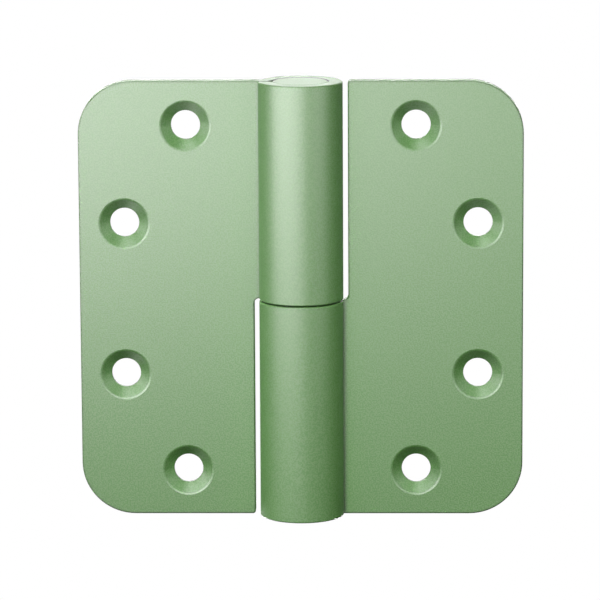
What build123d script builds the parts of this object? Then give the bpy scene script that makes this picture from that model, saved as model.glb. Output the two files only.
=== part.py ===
# Lift-off hinge: two rolled leaves that swing on one pressed-in pin.
# Shown open and flat. The pin axis is Z, the leaves lie left and right of it,
# and the faces with the countersinks look towards -Y.

import math
import os

from build123d import *

# Driving dimensions, in millimetres and degrees
leaf_height = 89.0          # each leaf, along the pin
open_width = 89.6           # across both leaves laid flat
sheet = 2.8                 # leaf, and wall of the rolled knuckle
pin_diameter = 11.4         # pressed end of the pin, and bore of both knuckles
corner_radius = 10.8        # outer corners of a leaf
screw_hole_diameter = 5.9
screw_hole_land = 0.75      # straight part of a screw hole, behind its countersink
countersink_angle = 90.0
hole_margin = 9.1           # screw holes from the leaf's outer edge and from its ends
inner_hole_reach = 23.2     # end screw holes from the pin axis
outer_hole_pitch = 31.0     # between the two screw holes along the outer edge
plug_length = 12.0
plug_neck_length = 1.0      # top end of the plug, turned a little thinner
ball_diameter = 6.35
seat_diameter = 4.8         # mouth of the two conical seats of the ball
seat_angle = 120.0

# Clearances
closed_gap = 0.6            # between the leaves when they are folded shut
knuckle_gap = 0.3           # between the ends of the two knuckles
notch_gap = 1.0             # between a knuckle and the edge of the other leaf
running_clearance = 0.05    # round the pin in the lifting knuckle
seat_clearance = 0.05       # between the ball and each of its seats
press_clearance = 0.005     # round the pressed pin and plug
neck_clearance = 0.2        # round the thinner top end of the plug
seam_gap = 0.6              # seam of the roll, between its free end and the leaf

# Corners and broken edges
edge_break = 0.2            # outer edges of the sheet, and the lower end of the pin
rim_break = 0.2             # countersink rims
notch_radius = 0.9          # inner corner of the notch
foot_radius = 0.6           # small corner where the notch leaves the leaf's end
seam_lip = 0.4              # bevelled corner of the free end at the outer side of the seam
seam_flare = 0.8            # bevelled corners on both sides of the seam at the bore
crease_radius = 0.35        # where the leaf's back face turns into the outside of the roll
nose_chamfer = 1.2          # lead-in at the top of the pin

# Aids for cutting and picking
overshoot = 1.0             # how far a cutting shape reaches past the metal
nearness = 0.01             # how closely a picked edge has to match

# Derived sizes
half_height = leaf_height / 2
half_width = open_width / 2
bore_radius = pin_diameter / 2
knuckle_radius = bore_radius + sheet
front = closed_gap / 2
back = front + sheet
knuckle_end = knuckle_gap / 2
notch_edge = knuckle_radius + notch_gap
countersink_depth = sheet - screw_hole_land
rim_radius = screw_hole_diameter / 2 + countersink_depth * math.tan(math.radians(countersink_angle / 2))
press_radius = bore_radius - press_clearance
neck_radius = bore_radius - neck_clearance
neck_start = half_height - plug_neck_length
running_radius = bore_radius - running_clearance
running_start = -knuckle_end - sheet
seat_radius = seat_diameter / 2
seat_slope = math.radians(seat_angle / 2)
seat_depth = seat_radius / math.tan(seat_slope)
ball_reach = (ball_diameter / 2 + seat_clearance) / math.sin(seat_slope) - seat_depth
plug_bottom = half_height - plug_length
ball_centre = plug_bottom - ball_reach
pin_top = ball_centre - ball_reach
inner_hole_height = half_height - hole_margin
outer_hole_reach = half_width - hole_margin
hole_places = [
    (-inner_hole_reach, inner_hole_height),
    (-inner_hole_reach, -inner_hole_height),
    (-outer_hole_reach, outer_hole_pitch / 2),
    (-outer_hole_reach, -outer_hole_pitch / 2),
]

os.makedirs("parts", exist_ok=True)

# Door leaf: one strip of sheet that runs in flat, bends back and rolls round the bore
# until its free end meets its own front face.
with BuildPart() as door_leaf:
    with BuildSketch(Plane.XY.offset(-half_height)) as section:
        Circle(knuckle_radius)
        Circle(bore_radius, mode=Mode.SUBTRACT)
        strip_end = -(bore_radius + sheet / 4)
        with BuildLine():
            Polyline(
                (-half_width, front),
                (strip_end, front),
                (strip_end, back),
                (-half_width, back),
                close=True,
            )
        make_face()
        crease = (-math.sqrt(knuckle_radius**2 - back**2), back, 0)
        fillet(section.vertices().sort_by_distance(crease)[0], crease_radius)
    extrude(amount=leaf_height)

    # Notch that leaves room for the other leaf's knuckle
    with BuildSketch(Plane.XZ) as notch:
        with BuildLine():
            Polyline(
                (-notch_edge, -half_height - overshoot),
                (half_width, -half_height - overshoot),
                (half_width, knuckle_end),
                (-notch_edge, knuckle_end),
                close=True,
            )
        make_face()
        fillet(notch.vertices().sort_by_distance((-notch_edge, knuckle_end, 0))[0], notch_radius)
    extrude(amount=knuckle_radius + overshoot, both=True, mode=Mode.SUBTRACT)

    # Round outer corners, and a small one at the foot of the notch
    fillet(door_leaf.edges().filter_by(Axis.Y).group_by(Axis.X)[0], corner_radius)
    foot = door_leaf.edges().filter_by(Axis.Y).sort_by_distance((-notch_edge, back, -half_height))[0]
    fillet(foot, foot_radius)

    # Countersunk screw holes, with their rims broken
    with Locations([Plane((x, front, z), x_dir=(1, 0, 0), z_dir=(0, -1, 0)) for x, z in hole_places]):
        CounterSinkHole(
            radius=screw_hole_diameter / 2,
            counter_sink_radius=rim_radius,
            counter_sink_angle=countersink_angle,
        )
    circles = door_leaf.edges().filter_by(GeomType.CIRCLE)
    chamfer(circles.filter_by(lambda edge: abs(edge.radius - rim_radius) < nearness), rim_break)

    # The cut edge of the strip is broken, along the leaf and round the outside of the roll
    across = door_leaf.edges().filter_by(Axis.Y)
    upright = door_leaf.edges().filter_by(Axis.Z)
    roll_lines = upright.filter_by(lambda edge: edge.center().X > -notch_edge + nearness)
    rings = door_leaf.edges().filter_by(lambda edge: edge.is_closed)
    chamfer(door_leaf.edges() - across - roll_lines - rings, edge_break)

    # Seam of the roll: a thin gap with sharp ends, its corners falling back at the bore and at the lip
    with BuildSketch(Plane.XY) as seam:
        with BuildLine():
            Polyline(
                (-knuckle_radius - overshoot, front),
                (-bore_radius - seam_flare, front),
                (-bore_radius + overshoot, front + seam_flare + overshoot),
                (-bore_radius + overshoot, front - seam_gap - seam_flare - overshoot),
                (-bore_radius - seam_flare, front - seam_gap),
                (-knuckle_radius + seam_lip, front - seam_gap),
                (-knuckle_radius - overshoot, front - seam_gap - seam_lip - overshoot),
                close=True,
            )
        make_face()
    extrude(amount=half_height + overshoot, mode=Mode.SUBTRACT)
door_leaf.part.label = "door_leaf"

# Frame leaf: the same pressing turned over, so its knuckle is the lower one.
with BuildPart() as frame_leaf:
    add(door_leaf.part.rotate(Axis.Y, 180))
frame_leaf.part.label = "frame_leaf"

# Pin: pressed into the lower knuckle flush with its end, running in the upper one,
# with a conical seat for the ball in its top.
with BuildPart() as hinge_pin:
    with BuildSketch(Plane.XZ) as pin_half:
        with BuildLine():
            Polyline(
                (0, -half_height),
                (press_radius, -half_height),
                (press_radius, running_start),
                (running_radius, running_start),
                (running_radius, pin_top - nose_chamfer),
                (running_radius - nose_chamfer, pin_top),
                (seat_radius, pin_top),
                (0, pin_top - seat_depth),
                close=True,
            )
        make_face()
        chamfer(pin_half.vertices().sort_by_distance((press_radius, -half_height, 0))[0], edge_break)
    revolve(axis=Axis.Z)
hinge_pin.part.label = "hinge_pin"

# Bearing ball between pin and plug: it carries the weight of the door.
with BuildPart() as bearing_ball:
    with Locations((0, 0, ball_centre)):
        Sphere(ball_diameter / 2)
bearing_ball.part.label = "bearing_ball"

# Plug: pressed into the upper knuckle flush with its end, with the ball's upper seat.
# Its thinner top end leaves a fine line round it.
with BuildPart() as top_plug:
    with BuildSketch(Plane.XZ) as plug_half:
        with BuildLine():
            Polyline(
                (0, plug_bottom + seat_depth),
                (seat_radius, plug_bottom),
                (press_radius, plug_bottom),
                (press_radius, neck_start),
                (neck_radius, neck_start),
                (neck_radius, half_height),
                (0, half_height),
                close=True,
            )
        make_face()
    revolve(axis=Axis.Z)
top_plug.part.label = "top_plug"

for piece in (door_leaf, frame_leaf, hinge_pin, bearing_ball, top_plug):
    export_step(piece.part, f"parts/{piece.part.label}.step")
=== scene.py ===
import math

import bmesh
import bpy
from mathutils import Euler, Matrix, Vector

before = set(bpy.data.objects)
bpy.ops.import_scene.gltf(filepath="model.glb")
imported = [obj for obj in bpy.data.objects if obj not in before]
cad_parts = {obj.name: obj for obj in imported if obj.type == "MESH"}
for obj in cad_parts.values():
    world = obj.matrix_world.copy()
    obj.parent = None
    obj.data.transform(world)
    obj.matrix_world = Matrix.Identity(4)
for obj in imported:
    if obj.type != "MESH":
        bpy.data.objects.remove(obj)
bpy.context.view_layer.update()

scene = bpy.context.scene
scene.view_settings.view_transform = "Standard"

# Lengths are in metres and angles in degrees, unless a line says otherwise.

# Each grain: fineness, detail and roughness of its noise
COAT_GRAIN = (3600, 0, 0.5)
DRAWN_LINES = (4200, 2, 0.5)
OIL_FILM = (160, 3, 0.5)
BALL_MARKS = (700, 3, 0.6)

# Each set of tones: the value where it starts and its colour there,
# then the value where it ends and its colour there
FULL = (1, 1, 1)
SHADED = (0.15, 0.15, 0.15)
COAT_TONES = (0.37, (0.067, 0.215, 0.029), 0.63, (0.109, 0.260, 0.065))
# Painted shade: the coat is darker near the edges of the flat leaves, where shade falls on their
# rounded edges
EDGE_SHADE_TONES = (0.60, SHADED, 0.92, FULL)
# Painted shade: the coat is darker in recesses and gaps within each piece, where shade falls
RECESS_SHADE_TONES = (0.10, SHADED, 0.90, FULL)
STEEL_TONES = (0.30, (0.36, 0.36, 0.37), 0.70, (0.56, 0.56, 0.57))
OIL_TONES = (0.35, (0.72, 0.70, 0.64), 0.60, FULL)
BALL_TONES = (0.30, (0.52, 0.52, 0.54), 0.70, (0.62, 0.62, 0.64))

# Green coat
COATED = ("door_leaf", "frame_leaf", "top_plug")
COAT_MEAN = (0.088, 0.2375, 0.047)
COAT_ROUGHNESS = (0.46, 0.54)
COAT_GLOSS = 0.2
GRAIN_DEPTH = 0.00002
EDGE_SHADE_WIDTH = 0.0005
RECESS_SHADE_REACH = 0.0012
EDGE_SHADE_FROM = -0.0004        # along Y: no painted edge shade in front of this
EDGE_SHADE_FULL = 0.0            # along Y: full painted edge shade behind this, where the flat leaves lie

# Bare steel
PIN_ROUGHNESS = (0.26, 0.40)
PIN_FOOT = -0.0442          # top of the coat on the pin's lower end
LINE_STRETCH = (1, 1, 0.03)
LINE_DEPTH = 0.000004
BALL_ROUGHNESS = (0.07, 0.15)
MARK_DEPTH = 0.000002

# How far sharp edges are softened
EDGE_ROUNDING = 0.00010
BALL_ROUNDING = 0.00005

# Camera, fitted to the edges in the photo
CAMERA_PLACE = (0.02016, -0.8670, 0.1646)
CAMERA_DIP = 10.754
CAMERA_TURN = 1.350
CAMERA_ROLL = -0.297
SENSOR_WIDTH = 36.0         # millimetres
FOCAL_LENGTH = 262.04       # millimetres
NEAREST = 0.01
FARTHEST = 20.0

# White room
ROOM_LIGHT = 0.02
FLOOR_HEIGHT = -0.13
FLOOR_RADIUS = 0.20
FLOOR_SIDES = 96
FLOOR_SHADE = 0.86
FADE_START = 0.45           # share of the floor's radius
FADE_END = 0.97             # share of the floor's radius
CARD_SHADE = 0.03

# Each row: name, azimuth, elevation, distance, width, height, radiance
PLAIN_PANELS = (
    ("upper_light", -15, 34, 0.9, 0.26, 0.26, 31.8),
    ("left_light", -80, 5, 0.35, 0.175, 0.175, 2.4),
    ("right_light", 32, 8, 0.40, 0.20, 0.20, 3.2),
    ("back_light", 165, -5, 0.9, 0.45, 0.45, 9.0),
)
SHEEN_PANELS = (
    ("key_sheen", -33.6, 12.7, 0.170, 0.336, 0.106, 61.0),
    ("right_sheen", 50, 16.7, 0.23, 0.16, 0.16, 30.0),
    ("upper_sheen", -40, 66, 0.5, 0.35, 0.25, 43.0),
    ("back_sheen", 180, 16, 0.25, 0.26, 0.12, 8.0),
    ("rear_sheen", 190, -44, 0.35, 0.40, 0.18, 32.0),
)
# Each row: name, azimuth, elevation, distance, width, height
DARK_CARDS = (
    ("front_card", 25, 0, 1.20, 1.60, 1.60),
    ("right_card", 90, 5, 0.35, 0.44, 1.20),
    ("right_rear_card", 142, 0, 0.38, 0.38, 0.90),
    ("rear_card", 180, -30, 0.45, 0.60, 0.50),
    ("lower_card", 0, -90, 0.30, 0.90, 0.90),
)

# Sockets of a Mix node that are for colours
MIX_FIRST = 6
MIX_SECOND = 7
MIX_RESULT = 2

# Rays for each softened edge and each shaded place
RAYS = 8


def new_finish(name):
    """An empty node material: its shader, and a coordinate that stays on the piece."""
    finish = bpy.data.materials.new(name)
    finish.use_nodes = True
    nodes = finish.node_tree.nodes
    nodes.clear()
    output = nodes.new("ShaderNodeOutputMaterial")
    shader = nodes.new("ShaderNodeBsdfPrincipled")
    place = nodes.new("ShaderNodeTexCoord")
    finish.node_tree.links.new(shader.outputs["BSDF"], output.inputs["Surface"])
    return finish, shader, place.outputs["Object"]


def noise(finish, place, fineness, detail, rough):
    texture = finish.node_tree.nodes.new("ShaderNodeTexNoise")
    texture.inputs["Scale"].default_value = fineness
    texture.inputs["Detail"].default_value = detail
    texture.inputs["Roughness"].default_value = rough
    finish.node_tree.links.new(place, texture.inputs["Vector"])
    return texture.outputs["Fac"]


def ramp(finish, value, start, start_colour, end, end_colour):
    """One colour up to start, another from end on, and a blend between them."""
    node = finish.node_tree.nodes.new("ShaderNodeValToRGB")
    first, last = node.color_ramp.elements
    first.position = start
    first.color = (*start_colour, 1)
    last.position = end
    last.color = (*end_colour, 1)
    finish.node_tree.links.new(value, node.inputs["Fac"])
    return node.outputs["Color"]


def bump(finish, shader, height, depth, rounding):
    """Relief of the given depth over edges rounded by the given radius."""
    soft = finish.node_tree.nodes.new("ShaderNodeBevel")
    soft.samples = RAYS
    soft.inputs["Radius"].default_value = rounding
    node = finish.node_tree.nodes.new("ShaderNodeBump")
    node.inputs["Strength"].default_value = 1.0
    node.inputs["Distance"].default_value = depth
    finish.node_tree.links.new(height, node.inputs["Height"])
    finish.node_tree.links.new(soft.outputs["Normal"], node.inputs["Normal"])
    finish.node_tree.links.new(node.outputs["Normal"], shader.inputs["Normal"])


def nearness(finish, reach, inside):
    """1 on open faces, less within reach of an edge (inside) or in a recess (outside)."""
    node = finish.node_tree.nodes.new("ShaderNodeAmbientOcclusion")
    node.samples = RAYS
    node.inside = inside
    node.only_local = True
    node.inputs["Distance"].default_value = reach
    return node.outputs["AO"]


def along(finish, place, axis):
    """The place along one axis, "X", "Y" or "Z"."""
    parts = finish.node_tree.nodes.new("ShaderNodeSeparateXYZ")
    finish.node_tree.links.new(place, parts.inputs["Vector"])
    return parts.outputs[axis]


def flat_part(finish, place):
    """1 on the flat of the leaves, 0 on the front of the knuckles."""
    node = finish.node_tree.nodes.new("ShaderNodeMapRange")
    node.inputs["From Min"].default_value = EDGE_SHADE_FROM
    node.inputs["From Max"].default_value = EDGE_SHADE_FULL
    finish.node_tree.links.new(along(finish, place, "Y"), node.inputs["Value"])
    return node.outputs["Result"]


def below(finish, place, height):
    """1 below the given height, 0 above it."""
    node = finish.node_tree.nodes.new("ShaderNodeMath")
    node.operation = "LESS_THAN"
    node.inputs[1].default_value = height
    finish.node_tree.links.new(along(finish, place, "Z"), node.inputs[0])
    return node.outputs["Value"]


def between(finish, value, low, high):
    """A value from 0 to 1, spread from low to high."""
    node = finish.node_tree.nodes.new("ShaderNodeMapRange")
    node.inputs["To Min"].default_value = low
    node.inputs["To Max"].default_value = high
    finish.node_tree.links.new(value, node.inputs["Value"])
    return node.outputs["Result"]


def darken(finish, colour, shade, where=None):
    """The colour times the shade, everywhere or only where the last value is 1."""
    node = finish.node_tree.nodes.new("ShaderNodeMix")
    node.data_type = "RGBA"
    node.blend_type = "MULTIPLY"
    node.inputs["Factor"].default_value = 1.0
    if where:
        finish.node_tree.links.new(where, node.inputs["Factor"])
    finish.node_tree.links.new(colour, node.inputs[MIX_FIRST])
    finish.node_tree.links.new(shade, node.inputs[MIX_SECOND])
    return node.outputs[MIX_RESULT]


def cover(finish, colour, paint, where):
    """The colour, with a plain paint over it where the last value is 1."""
    node = finish.node_tree.nodes.new("ShaderNodeMix")
    node.data_type = "RGBA"
    node.inputs[MIX_SECOND].default_value = (*paint, 1)
    finish.node_tree.links.new(where, node.inputs["Factor"])
    finish.node_tree.links.new(colour, node.inputs[MIX_FIRST])
    return node.outputs[MIX_RESULT]


def satin_green_coat():
    """Satin coat with a fine grain, and painted shade along the edges of the flat leaves and in the
    gaps.
    """
    finish, shader, place = new_finish("satin_green_coat")
    links = finish.node_tree.links
    grain = noise(finish, place, *COAT_GRAIN)
    tone = ramp(finish, grain, *COAT_TONES)
    # painted shade along the edges of the flat leaves, not a colour of the coat
    edges = ramp(finish, nearness(finish, EDGE_SHADE_WIDTH, True), *EDGE_SHADE_TONES)
    # painted shade in recesses and gaps, where shade falls
    painted_recess_shade = ramp(finish, nearness(finish, RECESS_SHADE_REACH, False), *RECESS_SHADE_TONES)
    tone_with_edge_shade = darken(finish, tone, edges, flat_part(finish, place))
    links.new(darken(finish, tone_with_edge_shade, painted_recess_shade), shader.inputs["Base Color"])
    links.new(between(finish, grain, *COAT_ROUGHNESS), shader.inputs["Roughness"])
    shader.inputs["Specular IOR Level"].default_value = COAT_GLOSS
    bump(finish, shader, grain, GRAIN_DEPTH, EDGE_ROUNDING)
    return finish


def oiled_pin_steel():
    """Drawn steel with lines along the pin and a film of oil; its flush lower end is coated."""
    finish, shader, place = new_finish("oiled_pin_steel")
    links = finish.node_tree.links
    lengthwise = finish.node_tree.nodes.new("ShaderNodeMapping")
    lengthwise.inputs["Scale"].default_value = LINE_STRETCH
    links.new(place, lengthwise.inputs["Vector"])
    lines = noise(finish, lengthwise.outputs["Vector"], *DRAWN_LINES)
    film = noise(finish, place, *OIL_FILM)
    steel = ramp(finish, lines, *STEEL_TONES)
    oiled = darken(finish, steel, ramp(finish, film, *OIL_TONES))
    foot = below(finish, place, PIN_FOOT)
    links.new(cover(finish, oiled, COAT_MEAN, foot), shader.inputs["Base Color"])
    links.new(between(finish, foot, 1, 0), shader.inputs["Metallic"])
    links.new(between(finish, film, *PIN_ROUGHNESS), shader.inputs["Roughness"])
    bump(finish, shader, lines, LINE_DEPTH, EDGE_ROUNDING)
    return finish


def polished_ball_steel():
    """Polished steel with faint rolling marks."""
    finish, shader, place = new_finish("polished_ball_steel")
    links = finish.node_tree.links
    marks = noise(finish, place, *BALL_MARKS)
    links.new(ramp(finish, marks, *BALL_TONES), shader.inputs["Base Color"])
    shader.inputs["Metallic"].default_value = 1
    links.new(between(finish, marks, *BALL_ROUGHNESS), shader.inputs["Roughness"])
    bump(finish, shader, marks, MARK_DEPTH, BALL_ROUNDING)
    return finish


def dress(finish, *names):
    for name in names:
        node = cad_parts[name]
        node.data.materials.clear()
        node.data.materials.append(finish)


def set_camera():
    lens = bpy.data.cameras.new("photo_camera")
    lens.sensor_fit = "HORIZONTAL"
    lens.sensor_width = SENSOR_WIDTH
    lens.lens = FOCAL_LENGTH
    lens.clip_start = NEAREST
    lens.clip_end = FARTHEST
    camera = bpy.data.objects.new("photo_camera", lens)
    aim = Euler((math.radians(90 - CAMERA_DIP), 0, math.radians(CAMERA_TURN))).to_matrix().to_4x4()
    roll = Matrix.Rotation(math.radians(CAMERA_ROLL), 4, "Z")
    camera.matrix_world = Matrix.Translation(CAMERA_PLACE) @ aim @ roll
    scene.collection.objects.link(camera)
    scene.camera = camera


def around(azimuth, elevation, distance):
    """A place round the hinge: azimuth 0 is in front, plus to the right."""
    side = math.radians(azimuth)
    rise = math.radians(elevation)
    level = math.cos(rise)
    return Vector((math.sin(side) * level, -math.cos(side) * level, math.sin(rise))) * distance


def coated_pieces():
    """The pieces that the sheen panels shine on; bare steel mirrors the white room and the cards."""
    group = bpy.data.collections.new("coated_pieces")
    for name in COATED:
        group.objects.link(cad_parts[name])
    return group


def panel(name, azimuth, elevation, distance, width, height, radiance, coated=None):
    """A lit panel that gives plain light, or only a sheen on the coated pieces where they are given."""
    lamp = bpy.data.lights.new(name, "AREA")
    lamp.shape = "RECTANGLE"
    lamp.size = width
    lamp.size_y = height
    lamp.energy = radiance * width * height * math.pi
    lamp.cycles.use_multiple_importance_sampling = False
    holder = bpy.data.objects.new(name, lamp)
    holder.location = around(azimuth, elevation, distance)
    holder.rotation_euler = (-holder.location).to_track_quat("-Z", "Y").to_euler()
    holder.visible_camera = False
    holder.visible_diffuse = coated is None
    holder.visible_glossy = coated is not None
    if coated:
        holder.light_linking.receiver_collection = coated
    scene.collection.objects.link(holder)


def flat_paint(name, shade):
    paint = bpy.data.materials.new(name)
    paint.use_nodes = True
    shader = paint.node_tree.nodes["Principled BSDF"]
    shader.inputs["Base Color"].default_value = (shade, shade, shade, 1)
    shader.inputs["Roughness"].default_value = 1.0
    shader.inputs["Specular IOR Level"].default_value = 0.0
    return paint


def dark_card(name, azimuth, elevation, distance, width, height):
    """A card that keeps the white room out of the sheen on the hinge's shaded sides."""
    mesh = bpy.data.meshes.new(name)
    form = bmesh.new()
    bmesh.ops.create_grid(form, x_segments=1, y_segments=1, size=0.5)
    place = around(azimuth, elevation, distance)
    turn = (-place).to_track_quat("-Z", "Y").to_matrix().to_4x4()
    form.transform(Matrix.Translation(place) @ turn @ Matrix.Diagonal((width, height, 1, 1)))
    form.to_mesh(mesh)
    form.free()
    card = bpy.data.objects.new(name, mesh)
    card.visible_camera = False
    card.visible_diffuse = False
    card.visible_shadow = False
    mesh.materials.append(flat_paint(name, CARD_SHADE))
    scene.collection.objects.link(card)


def pale_floor():
    """A round floor below the hinge that fades into the white room at its rim."""
    mesh = bpy.data.meshes.new("pale_floor")
    form = bmesh.new()
    bmesh.ops.create_circle(form, cap_ends=True, segments=FLOOR_SIDES, radius=FLOOR_RADIUS)
    form.transform(Matrix.Translation((0, 0, FLOOR_HEIGHT)))
    form.to_mesh(mesh)
    form.free()
    floor = bpy.data.objects.new("pale_floor", mesh)
    paint = flat_paint("pale_floor", FLOOR_SHADE)
    nodes = paint.node_tree.nodes
    links = paint.node_tree.links
    place = nodes.new("ShaderNodeTexCoord")
    flat = nodes.new("ShaderNodeVectorMath")
    flat.operation = "MULTIPLY"
    flat.inputs[1].default_value = (1, 1, 0)
    reach = nodes.new("ShaderNodeVectorMath")
    reach.operation = "LENGTH"
    fade = nodes.new("ShaderNodeMapRange")
    fade.interpolation_type = "SMOOTHSTEP"
    fade.inputs["From Min"].default_value = FLOOR_RADIUS * FADE_START
    fade.inputs["From Max"].default_value = FLOOR_RADIUS * FADE_END
    clear = nodes.new("ShaderNodeBsdfTransparent")
    mix = nodes.new("ShaderNodeMixShader")
    links.new(place.outputs["Object"], flat.inputs[0])
    links.new(flat.outputs["Vector"], reach.inputs[0])
    links.new(reach.outputs["Value"], fade.inputs["Value"])
    links.new(fade.outputs["Result"], mix.inputs[0])
    links.new(nodes["Principled BSDF"].outputs["BSDF"], mix.inputs[1])
    links.new(clear.outputs["BSDF"], mix.inputs[2])
    links.new(mix.outputs["Shader"], nodes["Material Output"].inputs["Surface"])
    mesh.materials.append(paint)
    floor.visible_diffuse = False
    floor.visible_glossy = False
    scene.collection.objects.link(floor)


def white_room():
    """White to the eye and in reflections, a plain soft light otherwise."""
    world = bpy.data.worlds.new("white_room")
    scene.world = world
    world.use_nodes = True
    nodes = world.node_tree.nodes
    links = world.node_tree.links
    nodes.clear()
    output = nodes.new("ShaderNodeOutputWorld")
    mix = nodes.new("ShaderNodeMixShader")
    seen = nodes.new("ShaderNodeBackground")
    seen.inputs["Color"].default_value = (1, 1, 1, 1)
    seen.inputs["Strength"].default_value = 1.0
    light = nodes.new("ShaderNodeBackground")
    light.inputs["Color"].default_value = (1, 1, 1, 1)
    light.inputs["Strength"].default_value = ROOM_LIGHT
    path = nodes.new("ShaderNodeLightPath")
    eye_or_gloss = nodes.new("ShaderNodeMath")
    eye_or_gloss.operation = "MAXIMUM"
    any_sight = nodes.new("ShaderNodeMath")
    any_sight.operation = "MAXIMUM"
    links.new(path.outputs["Is Camera Ray"], eye_or_gloss.inputs[0])
    links.new(path.outputs["Is Glossy Ray"], eye_or_gloss.inputs[1])
    links.new(eye_or_gloss.outputs["Value"], any_sight.inputs[0])
    links.new(path.outputs["Is Transmission Ray"], any_sight.inputs[1])
    links.new(any_sight.outputs["Value"], mix.inputs[0])
    links.new(light.outputs["Background"], mix.inputs[1])
    links.new(seen.outputs["Background"], mix.inputs[2])
    links.new(mix.outputs["Shader"], output.inputs["Surface"])


dress(satin_green_coat(), *COATED)
dress(oiled_pin_steel(), "hinge_pin")
dress(polished_ball_steel(), "bearing_ball")
set_camera()
white_room()
pale_floor()
coated = coated_pieces()
for row in PLAIN_PANELS:
    panel(*row)
for row in SHEEN_PANELS:
    panel(*row, coated)
for row in DARK_CARDS:
    dark_card(*row)
